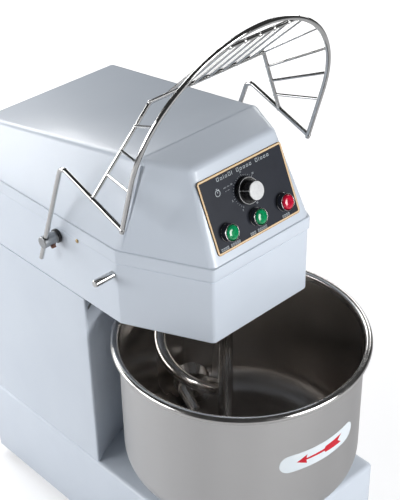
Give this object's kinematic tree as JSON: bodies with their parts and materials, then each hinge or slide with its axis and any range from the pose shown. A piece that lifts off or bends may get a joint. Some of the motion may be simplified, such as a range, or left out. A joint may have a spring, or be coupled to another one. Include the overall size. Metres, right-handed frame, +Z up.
{
  "type": "spiral dough mixer",
  "caption": "Floor-standing spiral dough mixer: turning steel bowl on a box base, spiral hook and breaker bar under an overhung head, swing-up wire guard, timer and push buttons.",
  "frame": {"origin": "on the floor under the centre of the machine's bounding box", "axes": "+Z up, -Y towards the front where the control panel and bowl are, +X to the machine's left-to-right direction as seen from the front"},
  "size_m": [0.4154, 0.7077, 1.0108],
  "materials": {
    "paint": "semi-gloss pale blue-grey enamel on sheet steel",
    "panel": "dark slate printed membrane over an aluminium plate",
    "chrome": "bright plated steel wire and trim",
    "stainless": "stainless steel, satin outside and circumferentially brushed inside",
    "black_plastic": "black moulded plastic",
    "zinc": "zinc-plated steel",
    "brass": "yellow-passivated fasteners",
    "cast_iron": "oiled cast iron",
    "rubber": "black rubber",
    "motor_paint": "blue machinery paint",
    "white_plastic": "white plastic with a silver sheen",
    "green_plastic": "translucent green push-button cap",
    "red_plastic": "translucent red push-button cap"
  },
  "bodies": {
    "frame": {"base_frame": "paint", "column_shell": "paint", "rear_cover": "paint", "head_housing": "paint", "head_cover": "paint", "control_plate": "panel", "high_speed_bezel": "chrome", "low_speed_bezel": "chrome", "stop_bezel": "chrome", "high_speed_contact": "black_plastic", "low_speed_contact": "black_plastic", "stop_contact": "black_plastic", "timer_unit": "black_plastic", "guard_washer_left": "black_plastic", "guard_washer_right": "black_plastic", "guard_pin_left": "zinc", "guard_pin_right": "zinc", "guard_peg_left": "chrome", "guard_peg_right": "chrome", "cover_screw_left": "brass", "cover_screw_right": "brass", "guard_switch": "black_plastic", "spiral_bearing_housing": "cast_iron", "breaker_bar": "stainless", "breaker_nut": "zinc", "main_motor": "motor_paint", "motor_bracket": "zinc", "bowl_bearing_housing": "cast_iron", "upper_shaft_bearing": "cast_iron", "lower_shaft_bearing": "cast_iron", "cable_gland": "black_plastic", "foot_front_left": "rubber", "foot_front_right": "rubber", "foot_rear_left": "rubber", "foot_rear_right": "rubber", "contactor_box": "black_plastic", "drive_belt": "rubber", "transfer_chain": "zinc", "bowl_belt": "rubber"},
    "bowl": {"bowl": "stainless", "bowl_turntable": "cast_iron", "bowl_shaft": "stainless", "bowl_pulley": "cast_iron"},
    "spiral": {"spiral_hook": "stainless", "spiral_shaft": "stainless", "spiral_pulley": "cast_iron"},
    "motor_rotor": {"motor_shaft": "stainless", "motor_pulley": "cast_iron"},
    "column_drive": {"column_shaft": "stainless", "column_sprocket": "cast_iron"},
    "guard": {"guard_frame": "chrome", "guard_hub_left": "zinc", "guard_hub_right": "zinc", "guard_bolt_left": "brass", "guard_bolt_right": "brass"},
    "timer": {"timer_knob": "black_plastic", "knob_cap": "white_plastic"},
    "high_speed_key": {"high_speed_button": "green_plastic"},
    "low_speed_key": {"low_speed_button": "green_plastic"},
    "stop_key": {"stop_button": "red_plastic"}
  },
  "joints": [
    {"name": "bowl_spin", "type": "hinge", "parent": "frame", "child": "bowl", "pos_m": [0, -0.146, 0.2], "axis": [0, 0, -1], "continuous": true},
    {"name": "spiral_spin", "type": "hinge", "parent": "frame", "child": "spiral", "pos_m": [0, -0.028, 0.5], "axis": [0, 0, -1], "continuous": true},
    {"name": "motor_spin", "type": "hinge", "parent": "frame", "child": "motor_rotor", "pos_m": [0, 0.254, 0.6], "axis": [0, 0, -1], "continuous": true},
    {"name": "column_spin", "type": "hinge", "parent": "frame", "child": "column_drive", "pos_m": [0, 0.116, 0.4], "axis": [0, 0, -1], "continuous": true},
    {"name": "guard_swing", "type": "hinge", "parent": "frame", "child": "guard", "pos_m": [0, 0.089, 0.627], "axis": [1, 0, 0], "range_deg": [0, 68.5]},
    {"name": "timer_turn", "type": "hinge", "parent": "frame", "child": "timer", "pos_m": [-0.004, -0.15673, 0.74208], "axis": [0, 0.9167, -0.3997], "range_deg": [0, 300]},
    {"name": "high_speed_press", "type": "slide", "parent": "frame", "child": "high_speed_key", "axis": [0, 0.9167, -0.3997], "range_m": [0, 0.003], "stiffness_N_per_m": 800, "springref_m": -0.001},
    {"name": "low_speed_press", "type": "slide", "parent": "frame", "child": "low_speed_key", "axis": [0, 0.9167, -0.3997], "range_m": [0, 0.003], "stiffness_N_per_m": 800, "springref_m": -0.001},
    {"name": "stop_press", "type": "slide", "parent": "frame", "child": "stop_key", "axis": [0, 0.9167, -0.3997], "range_m": [0, 0.003], "stiffness_N_per_m": 800, "springref_m": -0.001}
  ],
  "couplings": [
    {"joint": "spiral_spin", "follows": "bowl_spin", "ratio": 10.8},
    {"joint": "column_spin", "follows": "bowl_spin", "ratio": 3.6},
    {"joint": "motor_spin", "follows": "bowl_spin", "ratio": 54}
  ]
}
